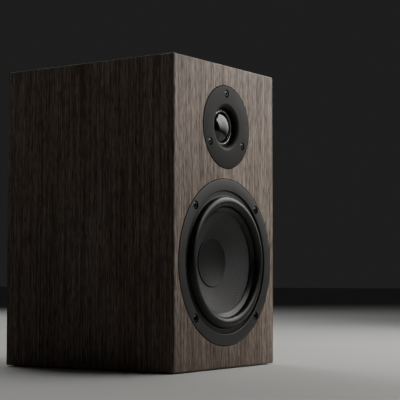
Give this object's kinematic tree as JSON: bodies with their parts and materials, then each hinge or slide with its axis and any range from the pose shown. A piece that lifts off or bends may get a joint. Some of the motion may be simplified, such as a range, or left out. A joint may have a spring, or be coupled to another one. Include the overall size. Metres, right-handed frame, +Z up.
{
  "type": "bookshelf speaker",
  "caption": "Two-way bookshelf speaker: dark veneered cabinet, woven-cone woofer with rubber surround, polished dome tweeter, rear port and screw terminals.",
  "frame": {"origin": "below the middle of the cabinet, on the surface that the feet stand on", "axes": "+Z up; the baffle with the drivers faces -Y and the terminals face +Y; +X is to the right seen from the front"},
  "size_m": [0.1934, 0.2338, 0.325],
  "materials": {
    "veneer": "dark grey-brown open-pored wood veneer, satin",
    "fibreboard": "raw medium-density fibreboard",
    "rubber": "soft satin black rubber",
    "wadding": "white polyester wadding",
    "satin_plate": "fine satin dark grey paint on cast metal",
    "cone_fibre": "fine diagonal woven fibre, coated, dark grey",
    "spider_cloth": "resin-treated corrugated cloth",
    "dome_metal": "polished dark metal",
    "black_screw": "black oxide",
    "black_plastic": "moulded black plastic",
    "red_plastic": "moulded red plastic",
    "copper": "enamelled copper wire",
    "steel": "zinc-plated steel",
    "gold": "gold-plated brass",
    "ferrite": "sintered ferrite, matt",
    "circuit_board": "glass-fibre circuit board",
    "capacitor": "wrapped film",
    "ceramic": "cement case"
  },
  "bodies": {
    "cabinet": {"front_baffle": "veneer", "left_side_panel": "veneer", "right_side_panel": "veneer", "top_panel": "veneer", "bottom_panel": "veneer", "rear_panel": "veneer", "window_brace": "fibreboard", "front_left_foot": "rubber", "front_right_foot": "rubber", "rear_left_foot": "rubber", "rear_right_foot": "rubber", "left_wadding": "wadding", "right_wadding": "wadding", "port_tube": "black_plastic", "woofer_basket": "satin_plate", "woofer_gasket": "rubber", "woofer_surround": "rubber", "woofer_spider": "spider_cloth", "woofer_top_plate": "steel", "woofer_magnet": "ferrite", "woofer_yoke": "steel", "woofer_terminal_strip": "circuit_board", "woofer_screw_1": "black_screw", "woofer_screw_2": "black_screw", "woofer_screw_3": "black_screw", "woofer_screw_4": "black_screw", "tweeter_faceplate": "satin_plate", "tweeter_gasket": "rubber", "tweeter_surround": "rubber", "tweeter_top_plate": "steel", "tweeter_magnet": "ferrite", "tweeter_yoke": "steel", "tweeter_screw_1": "black_screw", "tweeter_screw_2": "black_screw", "tweeter_screw_3": "black_screw", "terminal_cup": "black_plastic", "terminal_screw_1": "black_screw", "terminal_screw_2": "black_screw", "terminal_screw_3": "black_screw", "terminal_screw_4": "black_screw", "red_post_stud": "gold", "black_post_stud": "gold", "red_post_nut": "steel", "black_post_nut": "steel", "crossover_board": "circuit_board", "woofer_choke": "copper", "tweeter_choke": "copper", "film_capacitor": "capacitor", "power_resistor": "ceramic", "woofer_lead": "black_plastic", "tweeter_lead": "black_plastic"},
    "woofer_cone_assembly": {"woofer_cone": "cone_fibre", "woofer_dust_cap": "cone_fibre", "woofer_voice_coil": "copper"},
    "tweeter_dome_assembly": {"tweeter_dome": "dome_metal", "tweeter_voice_coil": "copper"},
    "red_washer": {"red_post_washer": "gold"},
    "red_knob": {"red_post_knob": "red_plastic"},
    "black_washer": {"black_post_washer": "gold"},
    "black_knob": {"black_post_knob": "black_plastic"}
  },
  "joints": [
    {"name": "woofer_excursion", "type": "slide", "parent": "cabinet", "child": "woofer_cone_assembly", "axis": [0, -1, 0], "range_m": [-0.005, 0.005], "stiffness_N_per_m": 1250, "deforming": ["woofer_surround", "woofer_spider"]},
    {"name": "tweeter_excursion", "type": "slide", "parent": "cabinet", "child": "tweeter_dome_assembly", "axis": [0, -1, 0], "range_m": [-0.0005, 0.0005], "stiffness_N_per_m": 2000, "deforming": ["tweeter_surround"]},
    {"name": "red_washer_travel", "type": "slide", "parent": "cabinet", "child": "red_washer", "axis": [0, 1, 0], "range_m": [0, 0.006]},
    {"name": "red_knob_turn", "type": "hinge", "parent": "red_washer", "child": "red_knob", "pos_m": [-0.014, 0.113, 0.08], "axis": [0, 1, 0], "range_deg": [0, 2160]},
    {"name": "black_washer_travel", "type": "slide", "parent": "cabinet", "child": "black_washer", "axis": [0, 1, 0], "range_m": [0, 0.006]},
    {"name": "black_knob_turn", "type": "hinge", "parent": "black_washer", "child": "black_knob", "pos_m": [0.014, 0.113, 0.08], "axis": [0, 1, 0], "range_deg": [0, 2160]}
  ],
  "couplings": [
    {"joint": "red_knob_turn", "follows": "red_washer_travel", "rad_per_m": 6283.2},
    {"joint": "black_knob_turn", "follows": "black_washer_travel", "rad_per_m": 6283.2}
  ]
}
